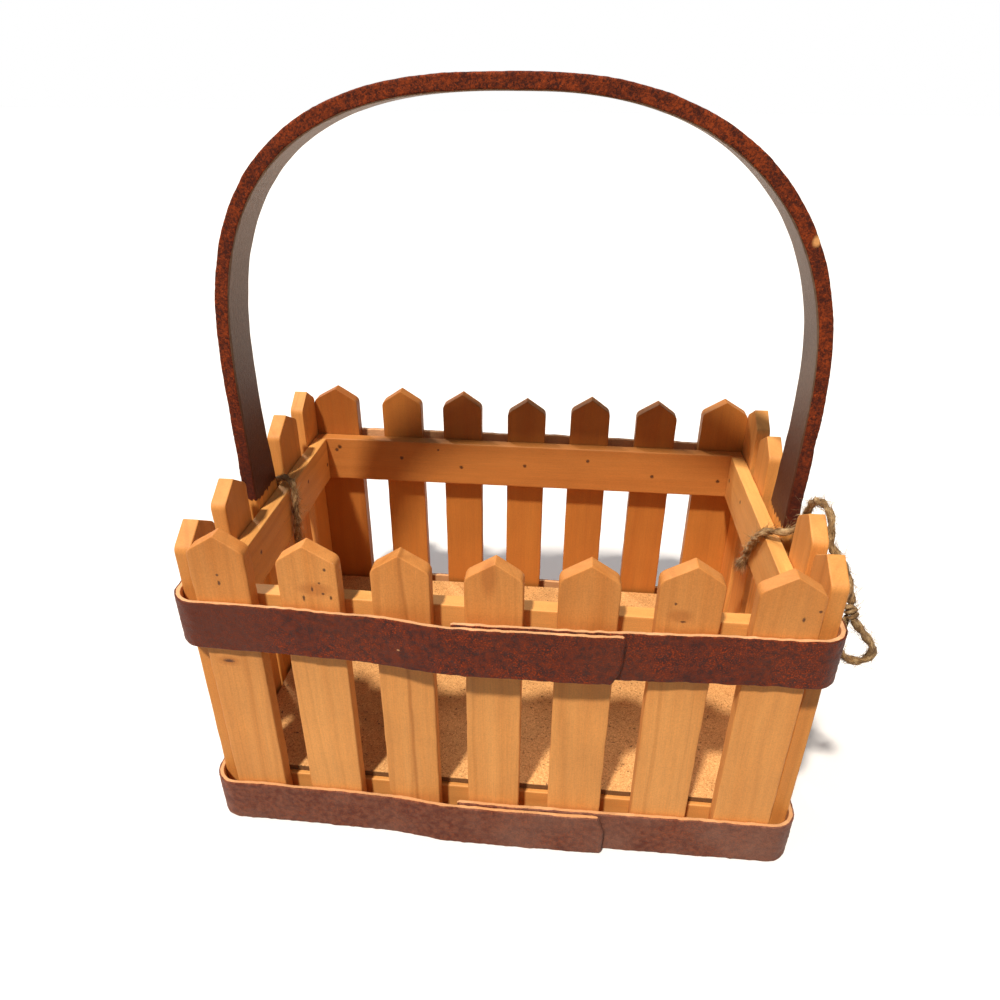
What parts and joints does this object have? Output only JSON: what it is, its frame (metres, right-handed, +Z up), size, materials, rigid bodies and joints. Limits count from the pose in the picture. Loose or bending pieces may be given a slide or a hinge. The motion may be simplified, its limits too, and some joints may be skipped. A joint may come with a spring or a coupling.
{
  "type": "picket fence basket",
  "caption": "Rectangular wooden basket with picket-fence sides, bark-faced bands, a bent hoop handle and twine ties.",
  "frame": {"origin": "on the surface it stands on, under the middle of the wood's box", "axes": "+X along the long side, +Y to the back, +Z up through the hoop handle"},
  "size_m": [0.2811, 0.1844, 0.3074],
  "materials": {
    "pine": "sanded bare pine, amber with age",
    "rail_pine": "planed bare pine",
    "hardboard": "fibrous pressed board",
    "bark_strip": "split strip with rough red-brown bark on its face",
    "hoop_bark": "bent strip, bark on the outside and grey-brown inside",
    "jute": "hairy two-ply jute twine",
    "brad_steel": "dull wire brads"
  },
  "bodies": {
    "root": {"front_picket_1": "pine", "front_picket_2": "pine", "front_picket_3": "pine", "front_picket_4": "pine", "front_picket_5": "pine", "front_picket_6": "pine", "front_picket_7": "pine", "back_picket_1": "pine", "back_picket_2": "pine", "back_picket_3": "pine", "back_picket_4": "pine", "back_picket_5": "pine", "back_picket_6": "pine", "back_picket_7": "pine", "left_picket_1": "pine", "left_picket_2": "pine", "left_picket_3": "pine", "left_picket_4": "pine", "right_picket_1": "pine", "right_picket_2": "pine", "right_picket_3": "pine", "right_picket_4": "pine", "upper_rail_front": "rail_pine", "upper_rail_back": "rail_pine", "upper_rail_left": "rail_pine", "upper_rail_right": "rail_pine", "lower_rail_front": "rail_pine", "lower_rail_back": "rail_pine", "lower_rail_left": "rail_pine", "lower_rail_right": "rail_pine", "floor_board": "hardboard", "upper_band": "bark_strip", "lower_band": "bark_strip", "handle": "hoop_bark", "left_twine": "jute", "right_twine": "jute", "brad_front_1": "brad_steel", "brad_front_2": "brad_steel", "brad_front_3": "brad_steel", "brad_front_4": "brad_steel", "brad_front_5": "brad_steel", "brad_front_6": "brad_steel", "brad_front_7": "brad_steel", "brad_back_1": "brad_steel", "brad_back_2": "brad_steel", "brad_back_3": "brad_steel", "brad_back_4": "brad_steel", "brad_back_5": "brad_steel", "brad_back_6": "brad_steel", "brad_back_7": "brad_steel", "brad_left_1": "brad_steel", "brad_left_2": "brad_steel", "brad_left_3": "brad_steel", "brad_left_4": "brad_steel", "brad_right_1": "brad_steel", "brad_right_2": "brad_steel", "brad_right_3": "brad_steel", "brad_right_4": "brad_steel", "brad_handle_left": "brad_steel", "brad_handle_right": "brad_steel"}
  },
  "joints": []
}
